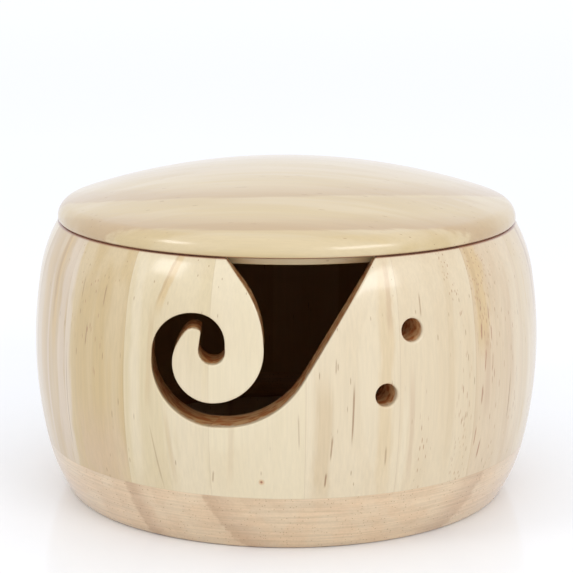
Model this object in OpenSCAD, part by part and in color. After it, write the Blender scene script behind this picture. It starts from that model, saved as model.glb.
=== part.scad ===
// Round lidded yarn bowl, turned from a ring of glued pine staves on a solid base board.
// +Z is up, the origin is the centre of the flat underside, and the scroll slot faces -Y.

/* [Bowl] */
// Largest radius of the bowl, at its belly
belly_r = 90; // [88:0.5:94]
// Height of the rim above the table
rim_h = 97; // [95:0.5:100]
// Height of the glue joint between the base board and the stave ring
joint_z = 19.6; // [17:0.1:22]
// Radius of the straight bore inside the bowl
bore_r = 75.5; // [73:0.5:76]
// Height of the widest place
belly_z = 52.5; // [50:0.5:55]
// Radius of the long arc of the belly, seen in section
belly_arc = 155; // [145:5:170]
// Radius of the foot's arc, which runs into the belly at the glue joint
foot_arc = 60; // [54:1:70]
// Radius of the shoulder's arc
shoulder_arc = 50; // [46:1:56]
// Height at which the shoulder arc leaves the belly
shoulder_z = 80; // [78:0.5:84]
// Rounding of the edge that stands on the table
foot_round = 2; // [1:0.5:3]
// Rounding of the rim's outer edge
rim_round = 1.5; // [0.5:0.25:2]
// Rounding of the rim's inner edge
rim_inner_round = 0.75; // [0.25:0.25:1.5]
// Radius of the cove between the floor and the wall, which also sets the floor's height
cove_r = 8; // [5:0.5:10]

/* [Staves] */
// Staves in the ring, each a wedge of the same angle
stave_count = 18; // [18:1:18]
// Angle of the joint just to the right of the front
first_joint = 4; // [3.5:0.25:4.5]

/* [Lid] */
// Height of the lid's top above the rim
lid_rise = 19.6; // [17:0.2:22]
// Radius of the lid's overhanging edge
lid_r = 81.3; // [80.5:0.1:82]
// Radius of the shallow dome
dome_r = 241; // [220:1:270]
// Rounding between the dome and the lid's edge
lid_round = 6; // [4.5:0.5:6.5]
// Gap between the spigot and the bore, all round
spigot_gap = 1; // [0.6:0.1:1.5]
// Depth of the spigot below the rim
spigot_h = 3.1; // [2.5:0.1:5]

/* [Needle holes] */
// Diameter of the two holes that park needles or pass the yarn
hole_d = 7.5; // [6:0.25:8]
// Angle to the right of the front and height of the upper hole
upper_hole = [27.1, 73.7];
// Angle to the right of the front and height of the lower hole
lower_hole = [21, 53.5];

/* [Hidden] */
$fn = 96;
stave_angle = 360 / stave_count;
stave_names = [for (i = [1:stave_count]) str("stave_", i < 10 ? "0" : "", i)];

pine = [0.89, 0.77, 0.58];
pine_tints = [0.97, 0.93, 0.90, 0.99, 0.95, 0.92, 0.96];
pine_pink = [0.86, 0.70, 0.54];
over = 1;
reach = 2 * belly_r;

// Section of the bowl: centres of its three arcs, in radius and height
belly_c = [belly_r - belly_arc, belly_z];
foot_c = turn_centre(foot_arc, joint_z);
shoulder_c = turn_centre(shoulder_arc, shoulder_z);
floor_z = joint_z - cove_r;

// Section of the lid
dome_c = [0, rim_h + lid_rise - dome_r];
lid_edge_c = inside_arc_at_x(dome_c, dome_r, lid_round, lid_r - lid_round);
lid_lip = lid_edge_c.y - rim_h;

// Scroll slot, in width and height as seen from the front. Each arc is
// [centre, radius, first angle, last angle], and straight runs join them.
slot_sag = 0.025;
mouth_top = rim_h + 13;
far_left = -60;
tip_run = -15;
lower_sweep = [[-21.6, 75], 31.5, -31, -90];
outer_bend = [[-23.3, 63.4], 20, 270, 180];
outer_crown = [[-29.2, 65.8], 14, 180, 90];
inner_crown = [[-28.5, 70.8], 9, 90, 0];
slot_end = [[-23.7, 68.1], 4.3, 0, -170];
tip_flank = [[-32.4, 69.3], 4.9, -15, 55.3];
tip_round = [[-30.46, 72.09], 1.5, 55.3, 124.9];
tip_bend = [[-24.4, 63.4], 12.1, 124.9, 270];
tongue_bend = [[-24.6, 68.8], 17.5, 273, 364];
tongue_flank = [[-39.2, 70], 32, 1, 37];

// What lies above the slot's right and lower side, as cut from the two front staves
above_sill = concat(
    [run_up(lower_sweep, 2), [far_left, mouth_top], [far_left, low(outer_bend)]],
    reverse(arc(lower_sweep))
);
// What lies inside the slot's outer side, as cut from the stave left of the front
inside_slot = concat(arc(lower_sweep), arc(outer_bend), arc(outer_crown), arc(inner_crown));
// What lies right of the scroll's tongue and below it
beside_tongue = concat(
    [[reach, mouth_top], run_up(tongue_flank, 3)],
    reverse(arc(tongue_flank)), reverse(arc(tongue_bend)),
    [[far_left, low(tongue_bend)], [far_left, 0], [reach, 0]]
);
// The slot's rounded head, where it cuts into the tongue's left side
slot_head = concat(
    [[far_left, high(inner_crown)]], arc(inner_crown),
    arc([slot_end[0], slot_end[1], 0, -90]), [[far_left, low(slot_end)]]
);
// The curled end by itself, which runs on to the right past its glued edge
curl = concat(
    [[tip_run, slot_end[0].y]], arc(slot_end), arc(tip_flank), arc(tip_round), arc(tip_bend),
    [for (p = arc(tongue_bend)) if (p.x < tip_run) p]
);

// Centre of a shorter arc of radius r that runs smoothly into the belly arc at height z
function turn_centre(r, z) =
    let (rise = (z - belly_z) / belly_arc)
    belly_c + (belly_arc - r) * [sqrt(1 - rise * rise), rise];

// Centre of a small arc of radius f that touches an arc from inside, at a set height or radius
function inside_arc_at_z(c, r, f, z) = [c.x + sqrt(pow(r - f, 2) - pow(z - c.y, 2)), z];
function inside_arc_at_x(c, r, f, x) = [x, c.y + sqrt(pow(r - f, 2) - pow(x - c.x, 2))];

// Point where a small arc centred on p touches an arc of centre c and radius r
function touch(c, r, p) = c + r * (p - c) / norm(p - c);

// Points along one arc of the slot
function arc(a) =
    let (step = 2 * acos(1 - slot_sag / a[1]), n = ceil(abs(a[3] - a[2]) / step))
    [for (i = [0:n]) let (t = a[2] + (a[3] - a[2]) * i / n) a[0] + a[1] * [cos(t), sin(t)]];

// Lowest and highest point of an arc's circle
function low(a) = a[0].y - a[1];
function high(a) = a[0].y + a[1];

// Point level with mouth_top on the straight run that leaves one end of an arc
function run_up(a, end) =
    let (p = a[0] + a[1] * [cos(a[end]), sin(a[end])])
    [p.x - (mouth_top - p.y) * tan(a[end]), mouth_top];

function reverse(points) = [for (i = [len(points) - 1:-1:0]) points[i]];

// Part of a section between two heights, bounded outside by one arc
module arc_band(c, r, z0, z1) {
    intersection() {
        translate(c) circle(r, $fn = 360);
        translate([0, z0]) square([c.x + r, z1 - z0]);
    }
}

// Part of a section between two heights, bounded outside by a small rounding centred on p
module round_band(p, f, z0, z1) {
    intersection() {
        union() {
            translate(p) circle(f);
            translate([0, p.y - f]) square([p.x, 2 * f]);
        }
        translate([0, z0]) square([p.x + f, z1 - z0]);
    }
}

module wall_section() {
    round_c = inside_arc_at_z(shoulder_c, shoulder_arc, rim_round, rim_h - rim_round);
    round_z = touch(shoulder_c, shoulder_arc, round_c).y;
    difference() {
        union() {
            arc_band(belly_c, belly_arc, joint_z, shoulder_z);
            arc_band(shoulder_c, shoulder_arc, shoulder_z, round_z);
            round_band(round_c, rim_round, round_z, rim_h);
        }
        translate([-over, joint_z - over]) square([bore_r + over, rim_h - joint_z + 2 * over]);
        difference() {
            translate([bore_r - over, rim_h - rim_inner_round]) square(rim_inner_round + over);
            translate([bore_r + rim_inner_round, rim_h - rim_inner_round]) circle(rim_inner_round);
        }
    }
}

module base_section() {
    round_c = inside_arc_at_z(foot_c, foot_arc, foot_round, foot_round);
    round_z = touch(foot_c, foot_arc, round_c).y;
    difference() {
        union() {
            round_band(round_c, foot_round, 0, round_z);
            arc_band(foot_c, foot_arc, round_z, joint_z);
        }
        translate([bore_r - cove_r, joint_z]) circle(cove_r);
        translate([-over, floor_z]) square([bore_r - cove_r + over, cove_r + over]);
    }
}

module lid_section() {
    crown = touch(dome_c, dome_r, lid_edge_c);
    lip_c = [lid_r - lid_lip, lid_edge_c.y];
    intersection() {
        translate(dome_c) circle(dome_r, $fn = 720);
        translate([0, lid_edge_c.y]) square([crown.x, lid_round + lid_rise]);
    }
    round_band(lid_edge_c, lid_round, lid_edge_c.y, crown.y);
    round_band(lip_c, lid_lip, rim_h, lid_edge_c.y);
    translate([0, rim_h - spigot_h]) square([bore_r - spigot_gap, spigot_h + lid_lip]);
}

// A hole straight through the wall towards the axis, at [angle, height]
module needle_hole(place) {
    rotate([0, 0, place[0] - 90])
        translate([bore_r - 2 * over, 0, place[1]])
            rotate([0, 90, 0])
                cylinder(h = belly_r - bore_r + 4 * over, d = hole_d, $fn = 48);
}

// An outline drawn as seen from the front, run straight back through the front wall
module through_front(outline) {
    rotate([90, 0, 0]) linear_extrude(height = reach) polygon(outline);
}

// Wedge of the ring; stave 1 is at the front and the rest follow to the right
module stave_blank(i) {
    intersection() {
        rotate_extrude($fn = 360) wall_section();
        rotate([0, 0, first_joint - 90 + (i - 2) * stave_angle])
            linear_extrude(height = reach)
                polygon(reach * [[0, 0], [1, 0], [cos(stave_angle), sin(stave_angle)]]);
    }
}

module stave(i) {
    color(pine_tints[i % len(pine_tints)] * pine)
        difference() {
            stave_blank(i);
            if (i <= 2) through_front(above_sill);
            if (i == stave_count) through_front(inside_slot);
            if (i == 2) needle_hole(lower_hole);
            if (i == 3) needle_hole(upper_hole);
        }
}

// The upper end of the front stave, which runs down from the rim into the scroll
module scroll_tongue() {
    color(pine_tints[1] * pine)
        difference() {
            stave_blank(1);
            through_front(beside_tongue);
            through_front(slot_head);
        }
}

// The curled end of the scroll, cut from the next stave and held only by its glued edge
module scroll_tip() {
    color(pine_tints[stave_count % len(pine_tints)] * pine)
        intersection() {
            stave_blank(stave_count);
            through_front(curl);
        }
}

module base_board() {
    color(pine_pink) rotate_extrude($fn = 360) base_section();
}

module lid() {
    color(pine) rotate_extrude($fn = 360) lid_section();
}

base_board();
for (i = [1:stave_count]) stave(i);
scroll_tongue();
scroll_tip();
lid();
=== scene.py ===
"""Lidded pine yarn bowl: the turned wood, its grain and its finish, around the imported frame."""
import math
import random

import bmesh
import bpy
import numpy as np
from mathutils import Matrix, Vector
from mathutils.geometry import delaunay_2d_cdt


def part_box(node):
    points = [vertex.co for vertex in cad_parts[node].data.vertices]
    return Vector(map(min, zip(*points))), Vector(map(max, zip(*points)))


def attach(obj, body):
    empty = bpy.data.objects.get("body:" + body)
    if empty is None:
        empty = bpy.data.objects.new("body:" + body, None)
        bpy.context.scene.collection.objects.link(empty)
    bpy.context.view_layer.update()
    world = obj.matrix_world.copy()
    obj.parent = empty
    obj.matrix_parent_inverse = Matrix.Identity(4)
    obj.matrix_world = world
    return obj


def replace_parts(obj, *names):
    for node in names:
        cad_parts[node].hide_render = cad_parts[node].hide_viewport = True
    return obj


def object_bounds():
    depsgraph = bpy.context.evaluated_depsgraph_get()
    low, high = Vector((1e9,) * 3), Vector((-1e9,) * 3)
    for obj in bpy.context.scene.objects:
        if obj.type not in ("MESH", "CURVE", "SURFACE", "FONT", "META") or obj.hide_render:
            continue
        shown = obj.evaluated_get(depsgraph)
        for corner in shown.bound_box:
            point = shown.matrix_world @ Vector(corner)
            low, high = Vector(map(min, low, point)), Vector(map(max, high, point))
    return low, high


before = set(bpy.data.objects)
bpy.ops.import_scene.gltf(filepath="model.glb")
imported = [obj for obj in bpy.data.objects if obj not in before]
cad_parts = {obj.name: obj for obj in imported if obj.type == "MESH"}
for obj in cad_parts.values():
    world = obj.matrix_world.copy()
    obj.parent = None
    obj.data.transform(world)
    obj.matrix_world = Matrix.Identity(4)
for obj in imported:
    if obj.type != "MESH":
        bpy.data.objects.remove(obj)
cad_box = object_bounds()

MM = 0.001

# Bowl section, in millimetres: a belly arc, with a tighter shoulder arc above it and a foot arc below
BELLY_R, BELLY_Z, BELLY_ARC = cad_box[1][1] / MM, 52.5, 155.0
SHOULDER_Z, SHOULDER_ARC = 80.0, 50.0
FOOT_ARC, FOOT_ROUND = 60.0, 2.0
RIM_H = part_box("stave_10")[1].z / MM
JOINT_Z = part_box("base_board")[1].z / MM
BORE_R, COVE_R = 75.5, 8.0
RIM_ROUND, RIM_INNER_ROUND = 1.5, 0.8

# Lid section
LID_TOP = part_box("lid")[1].z / MM
LID_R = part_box("lid")[1].x / MM
SPIGOT_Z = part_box("lid")[0].z / MM
DOME_R, LID_ROUND = 241.0, 6.0
SPIGOT_R, SPIGOT_ROUND = 74.5, 0.5

# Ring of staves: their number, the angle of each, and the angle of the joint between staves 1 and 2
STAVES, STAVE_ANGLE, FIRST_JOINT = 18, 20.0, 4.0
# Staves that the slot and the holes cut, and how far the block that they share reaches past them
FRONT_STAVES, BLOCK_MARGIN = (STAVES, 1, 2, 3), 2.0

# Scroll slot: arcs of [centre x, centre z, radius, first angle, last angle]
SLOT_ARCS = (
    (-21.6, 75.0, 31.5, -31, -90),
    (-23.3, 63.4, 20.0, 270, 180),
    (-29.2, 65.8, 14.0, 180, 90),
    (-28.5, 70.8, 9.0, 90, 0),
    (-23.7, 68.1, 4.3, 0, -188),
    (-28.09, 73.82, 0.9, -8, 60),
    (-29.44, 71.48, 3.6, 60, 141),
    (-15.14, 59.89, 22.0, 141, 159.2),
    (-24.4, 63.4, 12.1, 159.2, 270),
    (-24.6, 68.8, 17.5, 273, 364),
    (-39.2, 70.0, 32.0, 1, 37),
)
SLOT_ROUND, SLOT_INNER_ROUND = 0.65, 0.5
# At the tip's upper corner the rounding is smaller, and it grows with the distance from there
TIP_CORNER, TIP_CORNER_ROUND, TIP_ROUND_GROWTH = (-28.09, 73.82), 0.55, 0.3
# Under the rim the slot's sides are straight down to this depth
MOUTH_DEPTH = 5.0

# Needle holes: angle to the right of the front, and height
HOLES = ((27.1, 73.7), (21.0, 53.5))
HOLE_R, HOLE_ROUND = 3.75, 0.9

# Fineness of the meshes: counts of points, steps in millimetres, and decimals of a row's place
TURNED_POINTS = 288
STAVE_COLUMNS, STAVE_STEP = 21, 2.5
BLOCK_COLUMNS, BLOCK_DECIMALS = 100, 4
SLOT_STEP, MOUTH_RIGHT_POINTS, MOUTH_LEFT_POINTS, CROSSING_POINTS = 1.2, 28, 8, 5
SHORTEST_STEP = 0.05
HOLE_POINTS, HOLE_ROWS = 48, (0.25, 0.5, 0.75)
BEND_STEPS = 5
# Points that fill a patch: their step, their rows' step and their gap to the edge as shares of it
GRID, GRID_ROW, GRID_CLEARANCE = 1.6, 0.87, 0.62
# Where the block keeps every point of the profile: from outside the rim to inside it
LIP_OUTSIDE, LIP_INSIDE = 3.0, 2.0
# Edges sharper than this, in degrees, stay sharp
SHARP_ANGLE = 40

# Material slots of a stave: its outer face, its bore, and what the slot and the holes cut open
FACE, BORE, CUT = 0, 1, 2
# Depth under the rim where the bore's material starts
BORE_START = 1.0

# Differences that count as none
TINY, FLAT_SLACK, JOIN_SLACK = 1e-9, 1e-6, 1e-7
# At a corner an offset grows by one over the cosine of half the turn, taken as no less than this
LEAST_COSINE = 0.6


# Sections

def arc(cx, cy, r, first, last, points):
    """Points of an arc between two angles, in degrees."""
    t = np.radians(np.linspace(first, last, points))
    return np.c_[cx + r * np.cos(t), cy + r * np.sin(t)]


def heights_on(c, r, z0, z1, points):
    """Points of an arc of centre c between two heights."""
    return arc(c[0], c[1], r, math.degrees(math.asin((z0 - c[1]) / r)),
               math.degrees(math.asin((z1 - c[1]) / r)), points)


def turn_centre(r, z):
    """Centre of a shorter arc of radius r that runs smoothly into the belly arc at height z."""
    rise = (z - BELLY_Z) / BELLY_ARC
    return (BELLY_R - BELLY_ARC + (BELLY_ARC - r) * math.sqrt(1 - rise * rise),
            BELLY_Z + (BELLY_ARC - r) * rise)


def round_end(c, r, f, edge_z, up):
    """Centre of the rounding f between an arc and the flat edge that ends it, and its touching angle."""
    z = edge_z - f * up
    x = c[0] + math.sqrt((r - f) ** 2 - (z - c[1]) ** 2)
    return (x, z), math.degrees(math.atan2(z - c[1], x - c[0]))


def wall_profile():
    """Skin of the wall, from the glue joint up the outside, over the rim and down the bore."""
    shoulder = turn_centre(SHOULDER_ARC, SHOULDER_Z)
    (rx, rz), touch = round_end(shoulder, SHOULDER_ARC, RIM_ROUND, RIM_H, 1)
    touch_z = shoulder[1] + SHOULDER_ARC * math.sin(math.radians(touch))
    belly = heights_on((BELLY_R - BELLY_ARC, BELLY_Z), BELLY_ARC, JOINT_Z, SHOULDER_Z, points=60)
    top = heights_on(shoulder, SHOULDER_ARC, SHOULDER_Z, touch_z, points=20)
    lip = arc(rx, rz, RIM_ROUND, touch, 90, points=10)
    inner = arc(BORE_R + RIM_INNER_ROUND, RIM_H - RIM_INNER_ROUND, RIM_INNER_ROUND, 90, 180, points=7)
    return np.vstack([belly, top[1:], lip[1:], inner, [[BORE_R, JOINT_Z]]])


def base_outline():
    """Half section of the base board, from the middle of its underside to the middle of its floor."""
    foot = turn_centre(FOOT_ARC, JOINT_Z)
    (rx, rz), touch = round_end(foot, FOOT_ARC, FOOT_ROUND, 0, -1)
    touch_z = foot[1] + FOOT_ARC * math.sin(math.radians(touch))
    rounding = arc(rx, rz, FOOT_ROUND, -90, touch, points=10)
    side = heights_on(foot, FOOT_ARC, touch_z, JOINT_Z, points=24)
    cove = arc(BORE_R - COVE_R, JOINT_Z, COVE_R, 0, -90, points=14)
    return np.vstack([[[0, 0]], rounding, side[1:], cove, [[0, JOINT_Z - COVE_R]]])


def lid_outline():
    """Half section of the lid, from the middle of its underside to the top of its dome."""
    dome_z = LID_TOP - DOME_R
    edge_x = LID_R - LID_ROUND
    edge_z = dome_z + math.sqrt((DOME_R - LID_ROUND) ** 2 - edge_x ** 2)
    touch = math.degrees(math.atan2(edge_z - dome_z, edge_x))
    under = edge_z - RIM_H
    spigot = arc(SPIGOT_R - SPIGOT_ROUND, SPIGOT_Z + SPIGOT_ROUND, SPIGOT_ROUND, -90, 0, points=5)
    lower_edge = arc(LID_R - under, edge_z, under, -90, 0, points=8)
    upper_edge = arc(edge_x, edge_z, LID_ROUND, 0, touch, points=16)
    dome = arc(0, dome_z, DOME_R, touch, 90, points=40)
    return np.vstack([[[0, SPIGOT_Z]], spigot, [[SPIGOT_R, RIM_H]], lower_edge, upper_edge[1:], dome[1:]])


# Skin of the wall: a run is the distance along the profile from the outer glue joint

PROFILE = wall_profile()
RUN = np.r_[0, np.cumsum(np.hypot(*np.diff(PROFILE, axis=0).T))]
OUTER_END = int(np.argmax(PROFILE[:, 1] > RIM_H - FLAT_SLACK))


def outer_run(z):
    return np.interp(z, PROFILE[:OUTER_END + 1, 1], RUN[:OUTER_END + 1])


def outer_r(z):
    return np.interp(z, PROFILE[:OUTER_END + 1, 1], PROFILE[:OUTER_END + 1, 0])


def inner_run(z):
    return RUN[-1] - (z - JOINT_Z)


def skin_rz(run):
    return np.interp(run, RUN, PROFILE[:, 0]), np.interp(run, RUN, PROFILE[:, 1])


def skin_point(theta, run):
    """Places on the skin, in millimetres, at angles in radians to the right of the front."""
    r, z = skin_rz(run)
    return np.c_[r * np.sin(theta), -r * np.cos(theta), z]


def flat(loop):
    """Loop of angles and runs on the unrolled skin, in millimetres."""
    return np.c_[loop[:, 0] * BELLY_R, loop[:, 1]]


def on_skin(points):
    """Points of the unrolled skin, back in place."""
    return skin_point(points[:, 0] / BELLY_R, points[:, 1])


# Turned and plain pieces

def finish_piece(name, mesh, materials, body):
    for material in materials:
        mesh.materials.append(material)
    piece = bpy.data.objects.new(name, mesh)
    bpy.context.scene.collection.objects.link(piece)
    mesh.shade_smooth()
    mesh.set_sharp_from_angle(angle=math.radians(SHARP_ANGLE))
    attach(piece, body)
    return piece


def mesh_object(name, verts, faces, slots, materials, body):
    mesh = bpy.data.meshes.new(name)
    mesh.from_pydata([tuple(v) for v in np.asarray(verts) * MM], [], faces)
    mesh.polygons.foreach_set("material_index", slots)
    mesh.validate()
    return finish_piece(name, mesh, materials, body)


def lathe(name, outline, materials, body, slot_of=None):
    """Turned piece from an outline of (radius, height) that starts and ends on the axis.

    slot_of gives the material slot of the belt between two points of the outline.
    """
    n = TURNED_POINTS
    rings = outline[1:-1]
    turn = np.arange(n) * 2 * math.pi / n
    verts = [(0, 0, outline[0][1]), (0, 0, outline[-1][1])]
    for r, z in rings:
        verts.extend(np.c_[r * np.sin(turn), -r * np.cos(turn), np.full(n, z)])
    first, last = 2, 2 + (len(rings) - 1) * n
    faces = []
    for k in range(n):
        m = (k + 1) % n
        faces.append((0, first + m, first + k))
        faces.append((1, last + k, last + m))
    slots = [0] * len(faces)
    for i in range(len(rings) - 1):
        a, b = first + i * n, first + (i + 1) * n
        index = slot_of(rings[i], rings[i + 1]) if slot_of else 0
        for k in range(n):
            m = (k + 1) % n
            faces.append((a + k, a + m, b + m, b + k))
            slots.append(index)
    return mesh_object(name, verts, faces, slots, materials, body)


def grid_stave(name, centre, materials):
    """Plain stave: a wedge of the ring with a curved face front and back."""
    half = math.radians(STAVE_ANGLE / 2)
    angles = math.radians(centre) + np.linspace(-half, half, STAVE_COLUMNS)
    runs = []
    for a, b in zip(RUN[:-1], RUN[1:]):
        steps = max(1, int(round((b - a) / STAVE_STEP)))
        runs.extend(np.linspace(a, b, steps, endpoint=False))
    runs = np.array(runs + [RUN[-1]])
    verts = np.vstack([skin_point(np.full(len(runs), t), runs) for t in angles])
    n = len(runs)
    faces, slots = [], []
    for c in range(STAVE_COLUMNS - 1):
        a, b = c * n, (c + 1) * n
        for k in range(n - 1):
            faces.append((a + k, b + k, b + k + 1, a + k + 1))
            slots.append(BORE if runs[k] >= inner_run(RIM_H - BORE_START) else FACE)
        faces.append((a + n - 1, b + n - 1, b, a))
        slots.append(FACE)
    faces.append(tuple(range(n)))
    faces.append(tuple(reversed(range((STAVE_COLUMNS - 1) * n, STAVE_COLUMNS * n))))
    slots += [FACE, FACE]
    return mesh_object(name, verts, faces, slots, materials, "bowl")


# Outlines and patches on a plane

def unit(vectors):
    return vectors / np.maximum(np.hypot(*vectors.T), TINY)[:, None]


def offset(points, distance):
    """Closed outline moved to its left by a distance for each point."""
    before = unit(points - np.roll(points, 1, 0))
    after = unit(np.roll(points, -1, 0) - points)
    mean = unit(before + after)
    normal = np.c_[-mean[:, 1], mean[:, 0]]
    stretch = 1 / np.maximum(np.abs((mean * before).sum(1)), LEAST_COSINE)
    return points + normal * (distance * stretch)[:, None]


def inside(points, loop):
    """True for each point that lies inside a closed loop."""
    x, y = points[:, 0][:, None], points[:, 1][:, None]
    a, b = loop, np.roll(loop, -1, 0)
    crosses = (a[:, 1] > y) != (b[:, 1] > y)
    with np.errstate(divide="ignore", invalid="ignore"):
        at = a[:, 0] + (y - a[:, 1]) * (b[:, 0] - a[:, 0]) / (b[:, 1] - a[:, 1])
    return (crosses & (x < at)).sum(1) % 2 == 1


def between(points, outer, holes):
    """True for each point that lies inside the outer loop and in none of the holes."""
    keep = inside(points, outer)
    for hole in holes:
        keep &= ~inside(points, hole)
    return keep


def gap_to(points, loop):
    """Distance from each point to the nearest corner of a loop."""
    return np.sqrt(((points[:, None, :] - loop[None]) ** 2).sum(2)).min(1)


def fill(outer, holes):
    """Triangles between a loop and its holes.

    Returns the added points, and faces whose indices run through the loop, the holes and the added points.
    """
    loops = [outer] + list(holes)
    fixed = np.vstack(loops)
    low, high = outer.min(0), outer.max(0)
    xs = np.arange(low[0] + GRID / 2, high[0], GRID)
    ys = np.arange(low[1] + GRID / 2, high[1], GRID * GRID_ROW)
    grid = np.array([(x + (j % 2) * GRID / 2, y) for j, y in enumerate(ys) for x in xs])
    grid = grid[between(grid, outer, holes)]
    grid = grid[gap_to(grid, fixed) > GRID * GRID_CLEARANCE]
    points = np.vstack([fixed, grid])
    edges, start = [], 0
    for loop in loops:
        n = len(loop)
        edges += [(start + i, start + (i + 1) % n) for i in range(n)]
        start += n
    vectors = [Vector(p) for p in points]
    out, _, faces, origins, _, _ = delaunay_2d_cdt(vectors, edges, [], 0, JOIN_SLACK)
    if len(out) != len(points):
        raise RuntimeError("the outline of a cut piece crosses itself")
    back = [o[0] for o in origins]
    faces = np.array([[back[i] for i in f] for f in faces])
    return grid, faces[between(points[faces].mean(1), outer, holes)]


# Cut front of the ring

class Shell:
    """Points and faces of one closed skin, gathered patch by patch."""

    def __init__(self):
        self.verts, self.faces, self.slots = [], [], []

    def add(self, points):
        """Adds points and returns their indices."""
        start = len(self.verts)
        self.verts.extend(np.asarray(points))
        return np.arange(start, start + len(points))

    def face(self, corners, slot):
        self.faces.append(tuple(int(c) for c in corners))
        self.slots.append(slot)

    def strip(self, a, b, slot, closed=True):
        """Faces between two rows of points."""
        n = len(a)
        for i in range(n if closed else n - 1):
            j = (i + 1) % n
            self.face((a[i], a[j], b[j], b[i]), slot)

    def strips(self, rows, slot):
        for a, b in zip(rows[:-1], rows[1:]):
            self.strip(a, b, slot)

    def rounded_edge(self, a, corner, b):
        """Rounded edge that leaves a and meets b, tangent to the lines through the corner."""
        rows = [a]
        for t in np.linspace(0, 1, BEND_STEPS + 1)[1:-1]:
            rows.append((1 - t) ** 2 * a + 2 * t * (1 - t) * corner + t * t * b)
        rows = [self.add(row) for row in rows + [b]]
        self.strips(rows, FACE)
        return rows[0], rows[-1]


def slot_points():
    """Slot's outline seen from the front, from the mouth's right side to its left side."""
    points = []
    for cx, cz, r, first, last in SLOT_ARCS:
        n = max(3, int(math.radians(abs(last - first)) * r / SLOT_STEP) + 1)
        points.extend(arc(cx, cz, r, first, last, n))
    first, last = points[0], points[-1]
    t0, t1 = (math.radians(a) for a in (SLOT_ARCS[0][3], SLOT_ARCS[-1][4]))
    start = first + np.array([-math.tan(t0), 1]) * (RIM_H - first[1])
    end = last + np.array([-math.tan(t1), 1]) * (RIM_H - last[1])
    lead_in = [start + (first - start) * k for k in np.linspace(0, 1, MOUTH_RIGHT_POINTS)[:-1]]
    lead_out = [last + (end - last) * k for k in np.linspace(0, 1, MOUTH_LEFT_POINTS)[1:]]
    return np.array(lead_in + points + lead_out)


def slot_loop(outline, length):
    """Slot's edge as one closed loop over the rim, down the outside, up again and back inside.

    Each row is an angle, a run along the skin's profile, a run along the outline, and the rounding there.
    """
    below = RIM_H - MOUTH_DEPTH
    body = (outline[:, 1] < below).nonzero()[0]
    first, last = body[0], body[-1]
    turn = RUN[(RUN > outer_run(below)) & (RUN < inner_run(below))]
    crossing = np.r_[np.linspace(outer_run(below), turn[0], CROSSING_POINTS)[:-1], turn,
                     np.linspace(turn[-1], inner_run(below), CROSSING_POINTS)[1:]]
    blend = np.interp(crossing, [RUN[OUTER_END], inner_run(RIM_H)], [SLOT_ROUND, SLOT_INNER_ROUND])

    def on_side(end, near):
        r, z = skin_rz(crossing)
        share = (z - outline[end, 1]) / (outline[near, 1] - outline[end, 1])
        x = outline[end, 0] + (outline[near, 0] - outline[end, 0]) * share
        return np.c_[np.arcsin(x / r), crossing, length[end] + (length[near] - length[end]) * share, blend]

    path, along = outline[first:last + 1], length[first:last + 1]
    from_corner = np.hypot(*(path - TIP_CORNER).T)
    rounding = TIP_CORNER_ROUND + TIP_ROUND_GROWTH * (from_corner - 1)
    rounding = np.clip(rounding, TIP_CORNER_ROUND, SLOT_ROUND)
    outside = np.c_[np.arcsin(path[:, 0] / outer_r(path[:, 1])), outer_run(path[:, 1]), along, rounding]
    within = np.c_[np.arcsin(path[:, 0] / BORE_R), inner_run(path[:, 1]), along,
                   np.full(len(path), SLOT_INNER_ROUND)]
    loop = np.vstack([on_side(0, first)[::-1], outside, on_side(len(outline) - 1, last), within[::-1]])
    edge = flat(loop)
    steps = np.hypot(*(np.roll(edge, -1, 0) - edge).T)
    return loop[steps > SHORTEST_STEP]


def add_slot(shell, outline):
    """Rounded edge and wall of the slot. Returns the hole that it leaves in the unrolled skin."""
    length = np.r_[0, np.cumsum(np.hypot(*np.diff(outline, axis=0).T))]
    loop = slot_loop(outline, length)
    edge = flat(loop)
    corner = on_skin(edge)
    rim = offset(edge, loop[:, 3])
    wall = offset(np.c_[loop[:, 2], corner[:, 1]], loop[:, 3])

    def on_wall(points):
        return np.c_[np.interp(points[:, 0], length, outline[:, 0]), points[:, 1],
                     np.interp(points[:, 0], length, outline[:, 1])]

    rim_index, wall_index = shell.rounded_edge(on_skin(rim), corner, on_wall(wall))
    grid, faces = fill(wall, [])
    index = np.r_[wall_index, shell.add(on_wall(grid))]
    for f in faces:
        shell.face(index[f], CUT)
    return rim, rim_index


def add_needle_hole(shell, angle, height):
    """Radial hole with rounded ends. Returns the two holes that it leaves in the unrolled skin."""
    theta = math.radians(angle)
    out = np.array([math.sin(theta), -math.cos(theta), 0])
    side = np.array([math.cos(theta), math.sin(theta), 0])
    turn = np.linspace(0, 2 * math.pi, HOLE_POINTS + 1)[:-1]

    def ring(radius, sink, inner):
        u, v = radius * np.cos(turn), radius * np.sin(turn)
        z = height + v
        r = np.full(len(u), BORE_R) if inner else outer_r(z)
        depth = np.sqrt(r * r - u * u)
        run = inner_run(z) if inner else outer_run(z)
        place = out * (depth + sink)[:, None] + side * u[:, None]
        place[:, 2] = z
        return place, np.c_[(theta + np.arctan2(u, depth)) * BELLY_R, run]

    ends, holes = [], []
    for inner, sign in ((False, -1), (True, 1)):
        top, loop = ring(HOLE_R + HOLE_ROUND, 0, inner)
        corner, _ = ring(HOLE_R, 0, inner)
        foot, _ = ring(HOLE_R, sign * HOLE_ROUND, inner)
        top_index, foot_index = shell.rounded_edge(top, corner, foot)
        ends.append((foot_index, foot))
        holes.append((loop, top_index))
    (near, near_place), (far, far_place) = ends
    middle = [shell.add(near_place + (far_place - near_place) * share) for share in HOLE_ROWS]
    shell.strips([near] + middle + [far], CUT)
    return holes


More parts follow.
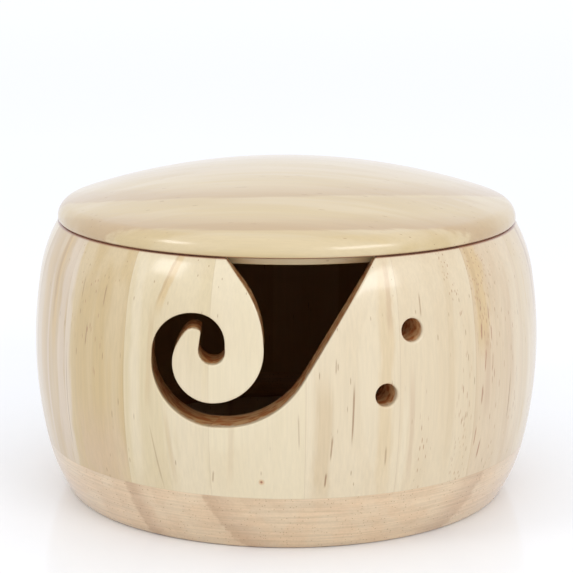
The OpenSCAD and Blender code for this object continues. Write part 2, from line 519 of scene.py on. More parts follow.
def front_block(low_angle, high_angle):
    """Front of the ring in one closed piece, with its slot and holes, before it is parted into staves."""
    shell = Shell()
    holes = [add_slot(shell, slot_points())]
    for angle, height in HOLES:
        holes += add_needle_hole(shell, angle, height)

    across = np.linspace(math.radians(low_angle), math.radians(high_angle), BLOCK_COLUMNS) * BELLY_R
    rows = int(RUN[-1] / GRID)
    lip = RUN[(RUN > outer_run(RIM_H - LIP_OUTSIDE)) & (RUN < inner_run(RIM_H - LIP_INSIDE))]
    up = RUN[0] + np.arange(1, rows) / rows * RUN[-1]
    up = np.unique(np.round(np.r_[up, lip], BLOCK_DECIMALS))
    bottom = np.c_[across, np.zeros(len(across))]
    right = np.c_[np.full(len(up), across[-1]), up]
    top = np.c_[across[::-1], np.full(len(across), RUN[-1])]
    left = np.c_[np.full(len(up), across[0]), up[::-1]]
    border = np.vstack([bottom, right, top, left])
    border_index = shell.add(on_skin(border))
    grid, faces = fill(border, [h[0] for h in holes])
    index = np.r_[border_index, np.concatenate([h[1] for h in holes]), shell.add(on_skin(grid))]
    run = np.r_[border[:, 1], np.concatenate([h[0][:, 1] for h in holes]), grid[:, 1]]
    for f in faces:
        shell.face(index[f], BORE if run[f].mean() > inner_run(RIM_H - BORE_START) else FACE)

    n, m = len(across), len(up)
    low_row, high_row = border_index[:n], border_index[n + m:2 * n + m][::-1]
    shell.strip(low_row, high_row, FACE, closed=False)
    shell.face(border_index[n - 1:n + m + 1], FACE)
    shell.face(np.r_[border_index[2 * n + m - 1:], border_index[0]], FACE)
    return shell


def joint_plane(angle):
    """Direction square to a glue joint, towards larger angles."""
    t = math.radians(angle)
    return Vector((math.cos(t), math.sin(t), 0))


def cut_off(bm, normal):
    """Keeps what lies behind a plane through the axis, and closes the cut."""
    everything = bm.verts[:] + bm.edges[:] + bm.faces[:]
    bmesh.ops.bisect_plane(bm, geom=everything, dist=JOIN_SLACK, plane_co=(0, 0, 0), plane_no=normal,
                           clear_outer=True)
    rim = [e for e in bm.edges if e.is_boundary]
    for f in bmesh.ops.holes_fill(bm, edges=rim, sides=0)["faces"]:
        f.material_index = FACE
        f.smooth = False


def loose_parts(bm):
    """Sets of vertices that hang together, in the order of their first vertices."""
    left, parts = set(bm.verts), []
    for start in bm.verts:
        if start not in left:
            continue
        left.discard(start)
        stack, part = [start], {start}
        while stack:
            for e in stack.pop().link_edges:
                for v in e.verts:
                    if v in left:
                        left.discard(v)
                        part.add(v)
                        stack.append(v)
        parts.append(part)
    return parts


def part_front(shell, staves):
    """Cuts the front block at its glue joints. Yields each loose part with its stave's number."""
    whole = bmesh.new()
    verts = [whole.verts.new(Vector(v) * MM) for v in shell.verts]
    for corners, slot in zip(shell.faces, shell.slots):
        whole.faces.new([verts[c] for c in corners]).material_index = slot
    bmesh.ops.recalc_face_normals(whole, faces=whole.faces)
    for n, centre in staves:
        bm = whole.copy()
        cut_off(bm, joint_plane(centre + STAVE_ANGLE / 2))
        cut_off(bm, -joint_plane(centre - STAVE_ANGLE / 2))
        for part in loose_parts(bm):
            one = bm.copy()
            one.verts.ensure_lookup_table()
            gone = [one.verts[v.index] for v in bm.verts if v not in part]
            bmesh.ops.delete(one, geom=gone, context="VERTS")
            yield n, one
            one.free()
        bm.free()
    whole.free()


# Colours of the wood

PALE = (0.69, 0.57, 0.375)
TAN = (0.56, 0.41, 0.225)
BROWN = (0.26, 0.12, 0.045)
CREAM = (0.74, 0.635, 0.45)
HONEY = (0.60, 0.42, 0.19)
PINK = (0.60, 0.42, 0.275)
RED = (0.36, 0.155, 0.075)
# Pale greyish tone of bands on the left staves, a painted haze of reflected light
PAINTED_HAZE = (0.70, 0.60, 0.50)
KNOT_RING, KNOT_HEART = (0.55, 0.26, 0.09), (0.26, 0.08, 0.03)
# The seam's brown is painted shadow of the gap between lid and rim, partly also finish pooled in the joint
SEAM_SHADOW_BROWN = (0.24, 0.075, 0.03)
# These multiply the wood's own colour: painted shade for the bore and the floor, and for the cut a brown
# burn with painted shade deeper in and a lighter mottle
INSIDE_SHADE_TINT = (0.56, 0.34, 0.20)
CUT_BURN_AND_SHADE, CUT_LIGHT_MOTTLE = (0.68, 0.27, 0.105), (1.0, 0.73, 0.50)

# Noise scales per millimetre: across the face, through the board and along the grain
FIBRE_SCALE = (1.3, 1.3, 0.035)
BROAD_SCALE = (0.11, 0.11, 0.006)
RAGGED_SCALE = (0.5, 0.5, 0.06)
RIPPLE_SCALE = (0.04, 1.5, 0.04)
SMEAR_SCALE = (0.14, 0.5, 0.42)
SWAY_SCALE = (0.012, 0.012, 0.010)
WAVER_SCALE = (0.07, 0.07, 0.015)
LATE_SCALE = (0.045, 0.045, 0.006)
CANAL_SCALE = (1.0, 1.0, 0.13)
# The dashes of a row are smaller and closer by these factors
ROW_SCALE = (1.6, 1.6, 1.35)
# Detail of the fibre, and of the noises that make the rings waver and the cut's brown mottled
FIBRE_DETAIL, FIBRE_ROUGHNESS, FINE_DETAIL = 4, 0.62, 3
# Noise between these makes most of the difference
NOISE_LOW, NOISE_HIGH = 0.3, 0.7
FIBRE_LOW, FIBRE_HIGH = 0.25, 0.75
SMEAR_LOW, SMEAR_HIGH = 0.38, 0.62
# Each board is cut from its own place in the noise, its seed times this far away
SEED_STRIDE = (37.7, 11.3, 71.9)

# Growth rings: their waver in millimetres, and where in a ring the late wood starts, peaks and drops
WAVER = 4.0
LATE_START, LATE_PEAK, LATE_DROP, LATE_FAINTEST = 0.2, 0.93, 0.94, 0.25
# Fibre and ripple lighten the wood by these shares of what they darken it
FIBRE_LIGHT, RIPPLE_LIGHT = 0.6, 0.5
# Broad pale places: the noise where they start and are full, their strength and their share of cream
PALE_START, PALE_FULL, PALE_STRENGTH, PALE_CREAM = 0.40, 0.62, 0.55, 0.5
# Resin dashes: half width and strength of those spread over a board and of those in rows, and their core
CANAL_WIDTH, CANAL_STRENGTH = 0.24, 0.55
ROW_WIDTH, ROW_STRENGTH = 0.32, 0.8
CANAL_CORE = 0.45
# Marks: the share of the half width at full strength, and of the length that fades at each end
MARK_CORE, MARK_FADE = 0.35, 0.3
# Bands: their waver, and how far the sharp edge lies outside and inside their radius
BAND_WAVER, BAND_OUTSIDE, BAND_INSIDE = 3.0, 1.2, 0.4
# Knots: how ragged they are, and where ring and heart start and are full, as shares of the size
KNOT_RAGGED, RING_START, RING_FULL, HEART_START, HEART_FULL = 0.8, 1.9, 0.9, 1.0, 0.6
RING_STRENGTH, HEART_STRENGTH = 0.55, 0.85
# Glue lines: where they start and are full, in millimetres from the joint, and their strength
GLUE_START, GLUE_FULL, GLUE_STRENGTH = 0.20, 0.04, 0.16
# Cut edges: how ragged the front of the brown burn and painted shade is, and its start and full depth
# under the belly
CUT_RAGGED, CUT_START, CUT_FULL = 7.0, 1.0, 4.5
# Painted shadow line of the seam under the lid, partly also finish pooled in the joint: its half width,
# its core and its strength, and its reach in from the lid's edge
SEAM_WIDTH, SEAM_CORE, SEAM_STRENGTH = 0.65, 0.2, 0.9
SEAM_START, SEAM_FULL = 2.2, 1.0

# Clear lacquer
ROUGH_LOW, ROUGH_HIGH = 0.36, 0.46
COAT, COAT_ROUGHNESS = 0.8, 0.15
SHEEN, SHEEN_ROUGHNESS, SHEEN_TINT = 0.12, 0.3, (0.86, 0.82, 1.0)
LACQUER_IOR, BARE_IOR = 1.45, 1.2
BUMP_STRENGTH, BUMP_DEPTH, BUMP_LATE = 0.10, 0.05, 0.4


# Wood

class Board:
    """Looks of one board. Lengths are in millimetres: across its face, through it and along its grain.

    Its growth rings lie round the pith, at a place across and through the board, and sway along it.
    A mark is a streak: its colour, its strength and its shape, as mark_mask takes it.
    A row is a belt of resin dashes: how many of its cells hold a dash, from 0 to 1, and its shape.
    A band is one broad growth ring: its shape, as band_mask takes it, and its strength. The bands lie
    across and through the board, or where arched is true, along and through it.
    A knot is its place across and along, and its size.
    """

    def __init__(self, seed, pale=PALE, pith=(30, 60), ring=8.0, shift=0.0, late=0.30, late_tone=TAN,
                 fibre=0.05, ripple=0.0, canals=0.16, rows=(), marks=(), bands=(), arched=False, knots=(),
                 sway=24):
        self.seed, self.pale, self.pith, self.ring, self.shift = seed, pale, pith, ring, shift
        self.late, self.late_tone, self.fibre, self.ripple = late, late_tone, fibre, ripple
        self.canals, self.rows, self.marks, self.knots = canals, rows, marks, knots
        self.bands, self.arched, self.sway = bands, arched, sway


class Nodes:
    """Node tree of one material, with short calls for the nodes that it uses."""

    def __init__(self, name):
        self.material = bpy.data.materials.new(name)
        self.material.use_nodes = True
        self.tree = self.material.node_tree
        self.shader = self.tree.nodes["Principled BSDF"].inputs

    def put(self, socket, value):
        if isinstance(value, bpy.types.NodeSocket):
            self.tree.links.new(value, socket)
        elif socket.type == "RGBA":
            socket.default_value = (*value, 1)
        else:
            socket.default_value = value

    def node(self, kind, inputs, **settings):
        made = self.tree.nodes.new("ShaderNode" + kind)
        for key, value in settings.items():
            setattr(made, key, value)
        for key, value in inputs.items():
            self.put(made.inputs[key], value)
        return made.outputs

    def math(self, operation, a, b=0.0, c=0.0):
        return self.node("Math", {0: a, 1: b, 2: c}, operation=operation)[0]

    def product(self, *values):
        result = values[0]
        for value in values[1:]:
            result = self.math("MULTIPLY", result, value)
        return result

    def length(self, x, y):
        return self.math("SQRT", self.math("ADD", self.product(x, x), self.product(y, y)))

    def object_place(self):
        """Place on the bowl, in metres from the middle of its underside."""
        return self.node("TexCoord", {})["Object"]

    def scaled(self, place, scale):
        return self.node("VectorMath", {0: place, 1: scale}, operation="MULTIPLY")[0]

    def moved(self, place, shift):
        return self.node("VectorMath", {0: place, 1: shift}, operation="ADD")[0]

    def noise(self, place, scale, detail=2.0, roughness=0.5):
        return self.node("TexNoise", {"Vector": self.scaled(place, scale), "Scale": 1.0, "Detail": detail,
                                      "Roughness": roughness})["Fac"]

    def step(self, value, low, high, out_low=0.0, out_high=1.0):
        """Smooth step from out_low, where value is low, to out_high, where it is high."""
        return self.node("MapRange", {"Value": value, "From Min": low, "From Max": high, "To Min": out_low,
                                      "To Max": out_high}, interpolation_type="SMOOTHSTEP")["Result"]

    def mix(self, amount, a, b, blend="MIX"):
        return self.node("Mix", {0: amount, 6: a, 7: b}, data_type="RGBA", blend_type=blend)[2]

    def tinted(self, colour, grey):
        return self.mix(1.0, colour, self.node("CombineColor", {0: grey, 1: grey, 2: grey})[0], "MULTIPLY")


class Grain:
    """Places in one board, and the noises that its colour and its bump share."""

    def __init__(self, wood, board, turns):
        place = wood.scaled(wood.object_place(), (1 / MM, 1 / MM, 1 / MM))
        for axis, angle in turns:
            place = wood.node("VectorRotate", {"Vector": place, "Angle": math.radians(angle)},
                              rotation_type=axis)[0]
        axes = wood.node("SeparateXYZ", {0: place})
        self.across, self.through, self.along = axes[0], axes[1], axes[2]
        self.near = wood.moved(place, [board.seed * stride for stride in SEED_STRIDE])
        self.fibre = wood.noise(self.near, FIBRE_SCALE, FIBRE_DETAIL, FIBRE_ROUGHNESS)
        self.ragged = wood.noise(self.near, RAGGED_SCALE)
        self.late = self.late_wood(wood, board)

    def late_wood(self, wood, board):
        """Dark late wood of the growth rings, which lie round the pith and waver along the grain."""
        sway = wood.noise(self.near, SWAY_SCALE)
        waver = wood.noise(self.near, WAVER_SCALE, FINE_DETAIL)
        shift = wood.math("MULTIPLY_ADD", sway, board.sway, -board.sway / 2 - board.pith[0])
        away = wood.length(wood.math("ADD", self.across, shift),
                           wood.math("ADD", self.through, -board.pith[1]))
        away = wood.math("ADD", away, wood.math("MULTIPLY_ADD", waver, WAVER, board.shift - WAVER / 2))
        phase = wood.math("FRACT", wood.math("DIVIDE", away, board.ring))
        strength = wood.step(wood.noise(self.near, LATE_SCALE), NOISE_LOW, NOISE_HIGH, LATE_FAINTEST)
        rise, fall = wood.step(phase, LATE_START, LATE_PEAK), wood.step(phase, 1.0, LATE_DROP)
        return wood.product(rise, fall, strength)


def canals(wood, near, density, width):
    """Short dark dashes of the resin canals."""
    cells = wood.node("TexVoronoi", {"Vector": wood.scaled(near, CANAL_SCALE), "Scale": 1.0})
    chance = wood.node("SeparateColor", {0: cells["Color"]})[0]
    open_here = wood.math("LESS_THAN", chance, density)
    return wood.product(wood.step(cells["Distance"], width, width * CANAL_CORE), open_here)


def mark_mask(wood, grain, mark):
    """Soft streak along the grain: [across, low end, high end, half width, lean]."""
    x, low, high, half, lean = mark
    centre = wood.node("MapRange", {"Value": grain.along, "From Min": low, "From Max": high, "To Min": x,
                                    "To Max": x + lean})["Result"]
    gap = wood.math("ABSOLUTE", wood.math("SUBTRACT", grain.across, centre))
    gap = wood.math("ADD", gap, wood.math("MULTIPLY_ADD", grain.ragged, half, -0.5 * half))
    fade = (high - low) * MARK_FADE
    ends = wood.product(wood.step(grain.along, low, low + fade), wood.step(grain.along, high, high - fade))
    return wood.product(wood.step(gap, half, half * MARK_CORE), ends)


def band_mask(wood, grain, arched, band):
    """One broad growth ring, dark up to its sharp outer edge: [centre, centre through, radius, width]."""
    x, y, radius, width = band
    away = wood.length(wood.math("ADD", grain.along if arched else grain.across, -x),
                       wood.math("ADD", grain.through, -y))
    away = wood.math("ADD", away, wood.math("MULTIPLY_ADD", grain.ragged, BAND_WAVER, -BAND_WAVER / 2))
    return wood.product(wood.step(away, radius - width, radius),
                        wood.step(away, radius + BAND_OUTSIDE, radius - BAND_INSIDE))


def add_knot(wood, grain, colour, knot):
    """Small knot: a brown ring round a dark heart."""
    x, z, size = knot
    place = wood.node("CombineXYZ", {0: grain.across, 1: grain.along})[0]
    gap = wood.node("VectorMath", {0: place, 1: (x, z, 0)}, operation="DISTANCE")["Value"]
    gap = wood.math("MULTIPLY_ADD", grain.ragged, size * KNOT_RAGGED, gap)
    ring = wood.step(gap, size * RING_START, size * RING_FULL, 0, RING_STRENGTH)
    heart = wood.step(gap, size * HEART_START, size * HEART_FULL, 0, HEART_STRENGTH)
    return wood.mix(heart, wood.mix(ring, colour, KNOT_RING), KNOT_HEART)


def wood_colour(wood, board, grain):
    """Colour of a planed board: rings, broad pale places, marks, bands, resin dashes, knots and fibre."""
    colour = wood.mix(wood.product(grain.late, board.late), board.pale, board.late_tone)
    broad = wood.step(wood.noise(grain.near, BROAD_SCALE), PALE_START, PALE_FULL, 0, PALE_STRENGTH)
    colour = wood.mix(broad, colour, wood.mix(PALE_CREAM, colour, CREAM))
    for tone, strength, mark in board.marks:
        mask = wood.product(mark_mask(wood, grain, mark), strength)
        colour = wood.mix(mask, colour, tone)
    for band, strength in board.bands:
        mask = wood.product(band_mask(wood, grain, board.arched, band), strength)
        colour = wood.mix(mask, colour, board.late_tone)
    dashes = canals(wood, grain.near, board.canals, CANAL_WIDTH)
    colour = wood.mix(wood.product(dashes, CANAL_STRENGTH), colour, BROWN)
    for density, row in board.rows:
        dashes = canals(wood, wood.scaled(grain.near, ROW_SCALE), density, ROW_WIDTH)
        mask = wood.product(mark_mask(wood, grain, row), dashes)
        colour = wood.mix(wood.product(mask, ROW_STRENGTH), colour, RED)
    for knot in board.knots:
        colour = add_knot(wood, grain, colour, knot)
    dark, light = 1 - board.fibre, 1 + board.fibre * FIBRE_LIGHT
    colour = wood.tinted(colour, wood.step(grain.fibre, FIBRE_LOW, FIBRE_HIGH, dark, light))
    if board.ripple:
        dark, light = 1 - board.ripple, 1 + board.ripple * RIPPLE_LIGHT
        lines = wood.noise(grain.near, RIPPLE_SCALE)
        colour = wood.tinted(colour, wood.step(lines, NOISE_LOW, NOISE_HIGH, dark, light))
    return colour


def glue_lines(wood, grain, colour):
    """Thin darker lines where a stave meets its neighbours and the base board."""
    half = math.radians(STAVE_ANGLE / 2)
    gap = wood.math("SUBTRACT", wood.math("MULTIPLY", grain.through, -math.sin(half)),
                    wood.math("MULTIPLY", wood.math("ABSOLUTE", grain.across), math.cos(half)))
    foot = wood.math("SUBTRACT", grain.along, JOINT_Z)
    glue = wood.step(wood.math("MINIMUM", gap, foot), GLUE_START, GLUE_FULL, 0, GLUE_STRENGTH)
    return wood.mix(glue, colour, BROWN)


def from_axis(wood):
    """Distance from the bowl's axis, in millimetres."""
    flat_place = wood.scaled(wood.object_place(), (1 / MM, 1 / MM, 0))
    return wood.node("VectorMath", {0: flat_place}, operation="LENGTH")["Value"]


def burn_and_shade_of_cut(wood, grain, colour):
    """Colour of a cut edge: the wood's own at the outside, and further in a mottled brown, partly burn
    marks and partly painted shade that deepens into the slot and the holes.
    """
    depth = wood.math("SUBTRACT", from_axis(wood), CUT_RAGGED / 2)
    depth = wood.math("MULTIPLY_ADD", grain.ragged, CUT_RAGGED, depth)
    smear = wood.noise(grain.near, SMEAR_SCALE, FINE_DETAIL)
    # Brown that stands partly for burn marks and partly for painted shade deeper in the cut
    brown = wood.mix(wood.step(smear, SMEAR_LOW, SMEAR_HIGH), CUT_BURN_AND_SHADE, CUT_LIGHT_MOTTLE)
    burnt_and_shaded = wood.mix(1.0, colour, brown, "MULTIPLY")
    return wood.mix(wood.step(depth, BELLY_R - CUT_START, BELLY_R - CUT_FULL), colour, burnt_and_shaded)


def seam_shadow_and_stain(wood, colour):
    """Dark line where the lid meets the rim, at the outer edge alone: painted shadow of the gap, partly
    also finish pooled in the joint.
    """
    height = wood.math("MULTIPLY", wood.node("SeparateXYZ", {0: wood.object_place()})[2], 1 / MM)
    gap = wood.math("ABSOLUTE", wood.math("SUBTRACT", height, RIM_H))
    line = wood.step(gap, SEAM_WIDTH, SEAM_CORE, 0, SEAM_STRENGTH)
    reach = wood.step(from_axis(wood), LID_R - SEAM_START, LID_R - SEAM_FULL)
    return wood.mix(wood.product(line, reach), colour, SEAM_SHADOW_BROWN)


def pine(name, turns, board, joints=False, cut=False, seam=False, inside=False):
    """Clear-lacquered pine of one board. The turns lead from the bowl's axes to the board's own.

    joints adds the glue lines of a stave, cut the burn and painted shade of a cut edge, and seam the
    painted shadow line under the lid.
    inside makes the bare wood of the bore and the floor, darkened with a painted shade tint.
    """
    wood = Nodes(name)
    grain = Grain(wood, board, turns)
    colour = wood_colour(wood, board, grain)
    if joints:
        colour = glue_lines(wood, grain, colour)
    if cut:
        colour = burn_and_shade_of_cut(wood, grain, colour)
    if seam:
        colour = seam_shadow_and_stain(wood, colour)
    # Painted shade: the bore and the floor darkened as if lying in the closed bowl's shadow
    if inside:
        colour = wood.mix(1.0, colour, INSIDE_SHADE_TINT, "MULTIPLY")

    relief = wood.math("MULTIPLY_ADD", grain.late, BUMP_LATE, grain.fibre)
    bump = wood.node("Bump", {"Height": relief, "Strength": BUMP_STRENGTH, "Distance": BUMP_DEPTH * MM})
    looks = {
        "Base Color": colour,
        "Roughness": wood.step(grain.fibre, NOISE_LOW, NOISE_HIGH, ROUGH_LOW, ROUGH_HIGH),
        "Coat Weight": 0.0 if inside else COAT,
        "Coat Roughness": COAT_ROUGHNESS,
        "Sheen Weight": 0.0 if inside or cut else SHEEN,
        "Sheen Roughness": SHEEN_ROUGHNESS,
        "Sheen Tint": SHEEN_TINT,
        "IOR": BARE_IOR if inside else LACQUER_IOR,
        "Normal": bump[0],
    }
    for socket, value in looks.items():
        wood.put(wood.shader[socket], value)
    return wood.material


# Boards

def front_boards():
    """Looks of the staves that face the camera, by their number."""
    return {
        1: Board(1, (0.725, 0.62, 0.42), (8, 70), late=0.16, fibre=0.04, canals=0.05,
                 knots=((1.4, 25.5, 0.85),),
                 marks=((BROWN, 0.35, (13.6, 36, 50, 0.30, -0.3)),
                        (BROWN, 0.45, (-14.6, 24, 29, 0.35, 0.4)),
                        (TAN, 0.30, (-9, 20, 60, 1.6, 1.5)))),
        2: Board(2, (0.70, 0.585, 0.40), (-60, 40), late=0.20, canals=0.10,
                 marks=((CREAM, 0.60, (-14.6, 4, 110, 1.4, 0)),
                        (TAN, 0.50, (-9.8, 12, 66, 3.4, 0)),
                        (HONEY, 0.38, (10.4, 5, 110, 3.4, 0.5)),
                        (BROWN, 0.70, (-0.6, 36, 60, 0.42, 0.5)),
                        (BROWN, 0.60, (-7.4, 32, 42, 0.38, 0.5)),
                        (BROWN, 0.75, (-8.8, 23, 29, 0.40, 0.3)),
                        (BROWN, 0.50, (-6.1, 61, 67, 0.30, 0.2)),
                        (BROWN, 0.45, (11.1, 29, 37, 0.40, 0.1)),
                        (RED, 0.22, (12.4, 70, 99, 1.1, -0.8)))),
        3: Board(3, (0.665, 0.54, 0.355), (70, 50), late=0.20, canals=0.12,
                 rows=((0.50, (-6.3, 5, 66, 2.4, 0)),
                       (0.55, (10.3, -15, 80, 5.0, 0)),
                       (0.60, (11.0, 56, 112, 2.8, -8.0))),
                 marks=((CREAM, 0.55, (-13.6, 8, 60, 1.5, 0)),
                        (RED, 0.18, (-10.6, 18, 66, 1.2, -0.8)),
                        (BROWN, 0.50, (-7.2, 77, 86, 0.35, 0.2)),
                        (TAN, 0.25, (4.0, 10, 110, 2.2, 1)))),
        4: Board(4, (0.605, 0.46, 0.29), (60, 30), late=0.30, fibre=0.06, canals=0.16,
                 rows=((0.80, (-10.5, 56, 116, 6.5, 0)),
                       (0.30, (-4.5, 5, 110, 5, 0)),
                       (0.20, (6, 10, 100, 7, 0))),
                 marks=((HONEY, 0.75, (-11.2, 56, 108, 5.0, 1.0)),
                        (BROWN, 0.15, (-12.4, 70, 104, 1.4, 1.0)),
                        (RED, 0.75, (-12.4, 66, 73, 0.42, 0.5)),
                        (RED, 0.70, (-7.0, 65, 71, 0.40, 0.1)),
                        (RED, 0.80, (-11.0, 55, 64, 0.45, 0.9)),
                        (RED, 0.70, (-12.4, 44, 52, 0.42, 0.5)),
                        (RED, 0.50, (-6.8, 55, 62, 0.35, 0.4)),
                        (RED, 0.70, (-14.2, 30, 38, 0.42, 0.4)),
                        (RED, 0.80, (-11.6, 25, 33, 0.45, 0.9)),
                        (RED, 0.60, (-7.9, 72, 78, 0.40, 0.2)),
                        (BROWN, 0.55, (4.6, 34, 54, 0.40, 0.7)),
                        (RED, 0.20, (-9.6, 36, 76, 2.2, 0.4)),
                        (CREAM, 0.40, (10, 10, 110, 4.5, 0)))),
        16: Board(16, (0.54, 0.39, 0.21), (-40, 40), late=0.30, canals=0.05,
                  marks=((HONEY, 0.80, (6.5, 50, 112, 2.6, -1.5)),
                         (BROWN, 0.32, (5.5, 62, 116, 1.4, -1.5)),
                         (HONEY, 0.50, (-4.5, 35, 100, 3.4, 0)),
                         # Painted haze of reflected light in pale bands
                         (PAINTED_HAZE, 0.50, (12.6, 0, 120, 4.0, 0)),
                         (PAINTED_HAZE, 0.30, (1.2, 5, 100, 1.4, 0)))),
        17: Board(17, (0.56, 0.41, 0.195), (20, 55), late=0.24, fibre=0.06, canals=0.13,
                  rows=((0.12, (-3, 45, 100, 13, 0)),),
                  # Painted haze of reflected light in a pale band along the joint with stave 16
                  marks=((PAINTED_HAZE, 0.60, (-14.8, 0, 120, 3.8, 0)),
                         (BROWN, 0.50, (-6.8, 78, 87, 0.35, 0.4)),
                         (BROWN, 0.50, (4.7, 77, 86, 0.40, 0.5)),
                         (BROWN, 0.55, (-3.0, 63, 72, 0.40, 0.6)),
                         (BROWN, 0.40, (-14.3, 20, 64, 0.35, 0)),
                         (PINK, 0.45, (2, -30, 52, 16, 2)))),
        18: Board(18, (0.655, 0.54, 0.33), (30, 60), late=0.22, canals=0.06,
                  marks=((CREAM, 0.60, (9.5, -30, 86, 11, 0)),
                         (CREAM, 0.60, (-11.5, 8, 110, 2.6, 0.5)),
                         (HONEY, 0.65, (-4.5, 76, 108, 1.9, 10.5)),
                         (BROWN, 0.22, (-5.0, 78, 106, 0.7, 9.5)),
                         (TAN, 0.50, (-5.8, 44, 84, 1.5, 0.6)),
                         (BROWN, 0.35, (-1.4, 18, 44, 0.35, -4.5)),
                         (TAN, 0.40, (3.2, 20, 50, 1.1, -3.0)))),
    }


LOT_SEED, LOT_MARKS, LOT_BROWN = 20, 5, 0.6


def drawn_board(n, lot):
    """Looks of a stave that the camera doesn't face, drawn by lot."""
    brown = lot.uniform(0, 1)
    pale = tuple(a + (b - a) * brown * LOT_BROWN for a, b in zip(PALE, TAN))
    marks = []
    for _ in range(LOT_MARKS):
        low = lot.uniform(15, 80)
        tone, strength = lot.choice((TAN, BROWN, CREAM, HONEY)), lot.uniform(0.3, 0.6)
        x, high = lot.uniform(-14, 14), low + lot.uniform(8, 60)
        half, lean = lot.uniform(0.3, 2.5), lot.uniform(-1.5, 1.5)
        marks.append((tone, strength, (x, low, high, half, lean)))
    pith = (lot.choice((-1, 1)) * lot.uniform(10, 70), lot.uniform(30, 90))
    ring, late, dashes = lot.uniform(6, 10), lot.uniform(0.18, 0.32), lot.uniform(0.04, 0.18)
    row = (0.4, (lot.uniform(-10, 10), 0, 115, lot.uniform(2, 5), 0))
    return Board(n, pale, pith, ring=ring, late=late, canals=dashes, rows=(row,), marks=marks)


def stave_boards():
    """Looks of all the staves, by their number."""
    boards = front_boards()
    lot = random.Random(LOT_SEED)
    for n in range(1, STAVES + 1):
        if n not in boards:
            boards[n] = drawn_board(n, lot)
    return boards


BASE_BOARD = Board(41, (0.70, 0.515, 0.325), (20, -40), ring=7.0, shift=1.6, late=0.13,
                   late_tone=(0.47, 0.29, 0.165), fibre=0.05, ripple=0.10, canals=0.6, sway=8,
                   bands=(((20, -40, 51, 10), 0.55), ((20, -40, 75.5, 7), 0.60)))
LID_BOARD = Board(77, (0.59, 0.455, 0.235), (-500, -155), ring=10.0, shift=7.4, late=0.30,
                  late_tone=(0.47, 0.315, 0.165), fibre=0.04, canals=0.10, sway=6, arched=True,
                  bands=(((10.2, 45.5, 94, 17), 0.65), ((4, 32.3, 105.7, 14), 0.75)))

# Turns to the boards' own axes: the base's grain runs from front to back, the lid's sideways
BASE_TURNS = (("X_AXIS", 90),)
LID_TURNS = (("Z_AXIS", 6), ("Y_AXIS", 90))


# Pieces

# Material slot of the base board's floor and cove, and what tells them from its outside and underside
FLOOR_SLOT, FLOOR_SLACK, UNDERSIDE_Z = 1, 0.01, 5
# Parts of a stave that start higher than this many joint heights hang from their neighbours
HANGING_HEIGHT = 1.5


def make_base():
    def floor_or_side(a, b):
        is_floor = max(a[0], b[0]) <= BORE_R + FLOOR_SLACK and b[1] > UNDERSIDE_Z
        return FLOOR_SLOT if is_floor else 0

    materials = [pine("pine_base", BASE_TURNS, BASE_BOARD),
                 pine("pine_floor", BASE_TURNS, BASE_BOARD, inside=True)]
    piece = lathe("base_board_turned", base_outline(), materials, "bowl", floor_or_side)
    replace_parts(piece, "base_board")


def stave_materials(n, centre, board):
    """Outer face, bore and cut edge of one stave."""
    turns = (("Z_AXIS", -centre),)
    plain = Board(board.seed, board.pale, board.pith, late=board.late, canals=board.canals)
    return [pine(f"pine_face_{n:02d}", turns, board, joints=True, seam=True),
            pine(f"pine_bore_{n:02d}", turns, plain, inside=True),
            pine(f"pine_cut_{n:02d}", turns, plain, cut=True)]


def make_wall():
    boards = stave_boards()
    centres = {n: FIRST_JOINT + STAVE_ANGLE * (n - 1.5) for n in range(1, STAVES + 1)}
    centres[STAVES] -= 360
    materials = {n: stave_materials(n, centres[n], boards[n]) for n in centres}
    for n in centres:
        if n not in FRONT_STAVES:
            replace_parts(grid_stave(f"stave_{n:02d}_turned", centres[n], materials[n]), f"stave_{n:02d}")

    reach = STAVE_ANGLE / 2 + BLOCK_MARGIN
    block = front_block(centres[FRONT_STAVES[0]] - reach, centres[FRONT_STAVES[-1]] + reach)
    for n, bm in part_front(block, [(n, centres[n]) for n in FRONT_STAVES]):
        hangs = min(v.co.z for v in bm.verts) > HANGING_HEIGHT * JOINT_Z * MM
        node = {1: "scroll_tongue", STAVES: "scroll_tip"}[n] if hangs else f"stave_{n:02d}"
        mesh = bpy.data.meshes.new(node + "_turned")
        bm.to_mesh(mesh)
        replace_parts(finish_piece(node + "_turned", mesh, materials[n], "bowl"), node)


def make_lid():
    materials = [pine("pine_lid", LID_TURNS, LID_BOARD, seam=True)]
    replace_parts(lathe("lid_turned", lid_outline(), materials, "lid"), "lid")


# Stage, in metres and degrees

# Lamps: name, angle to the right of the front, angle above the floor, distance, size and power
LAMPS = (("left_softbox", -60, 33, 1.1, (0.26, 0.24), 1.3),
         ("right_softbox", 38, 29, 1.1, (0.55, 0.26), 2.4))
LAMP_AIM = (0, 0, 0.08)
SKY_COLOUR, SKY_STRENGTH = (0.94, 0.955, 1, 1), 1.08
FLOOR_COLOUR, FLOOR_ROUGHNESS, FLOOR_IOR, FLOOR_HALF = (0.91, 0.915, 0.92), 0.06, 1.28, 3.0
CAMERA_PLACE, CAMERA_DOWN, CAMERA_ROLL = (0, -0.6642, 0.2126), 12.03, 0.004
LENS_MM, SENSOR_MM = 118.3, 36


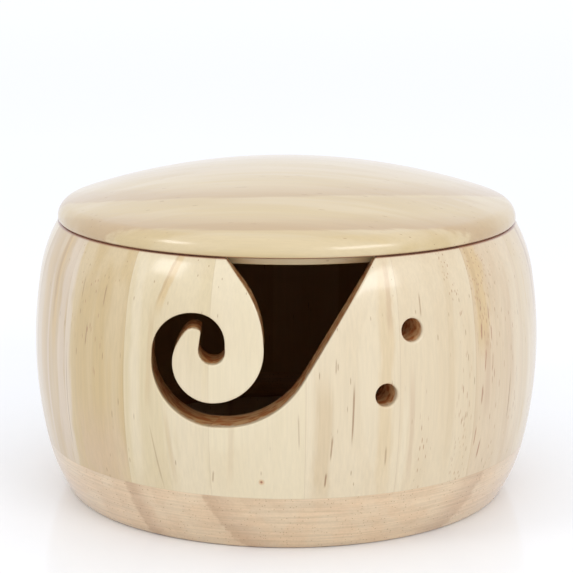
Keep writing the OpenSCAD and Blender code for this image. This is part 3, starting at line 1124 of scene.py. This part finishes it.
def add_softbox(name, azimuth, height, distance, size, power):
    """Soft lamp that looks at the bowl."""
    a, h = math.radians(azimuth), math.radians(height)
    light = bpy.data.lights.new(name, "AREA")
    light.shape = "RECTANGLE"
    light.size, light.size_y = size
    light.energy = power
    lamp = bpy.data.objects.new(name, light)
    away = Vector((math.sin(a) * math.cos(h), -math.cos(a) * math.cos(h), math.sin(h)))
    lamp.location = Vector(LAMP_AIM) + away * distance
    lamp.rotation_euler = (-away).to_track_quat("-Z", "Y").to_euler()
    bpy.context.scene.collection.objects.link(lamp)


def make_floor():
    paper = Nodes("floor_white")
    paper.put(paper.shader["Base Color"], FLOOR_COLOUR)
    paper.put(paper.shader["Roughness"], FLOOR_ROUGHNESS)
    paper.put(paper.shader["IOR"], FLOOR_IOR)
    h = FLOOR_HALF
    mesh = bpy.data.meshes.new("floor")
    mesh.from_pydata([(-h, -h, 0), (h, -h, 0), (h, h, 0), (-h, h, 0)], [], [(0, 1, 2, 3)])
    mesh.materials.append(paper.material)
    floor = bpy.data.objects.new("floor", mesh)
    bpy.context.scene.collection.objects.link(floor)


def make_studio():
    scene = bpy.context.scene
    world = bpy.data.worlds.new("studio")
    world.use_nodes = True
    sky = world.node_tree.nodes["Background"].inputs
    sky["Color"].default_value = SKY_COLOUR
    sky["Strength"].default_value = SKY_STRENGTH
    scene.world = world
    scene.view_settings.view_transform = "Standard"
    for lamp in LAMPS:
        add_softbox(*lamp)


def make_camera():
    """Camera of the photograph: in front, a little above, rolled by a quarter of a degree."""
    data = bpy.data.cameras.new("camera")
    data.sensor_width = SENSOR_MM
    data.lens = LENS_MM
    eye = bpy.data.objects.new("camera", data)
    pitch = math.radians(90 - CAMERA_DOWN)
    eye.matrix_world = (Matrix.Translation(CAMERA_PLACE) @ Matrix.Rotation(pitch, 4, "X")
                        @ Matrix.Rotation(CAMERA_ROLL, 4, "Z"))
    bpy.context.scene.collection.objects.link(eye)
    bpy.context.scene.camera = eye


make_base()
make_wall()
make_lid()
make_floor()
make_studio()
make_camera()
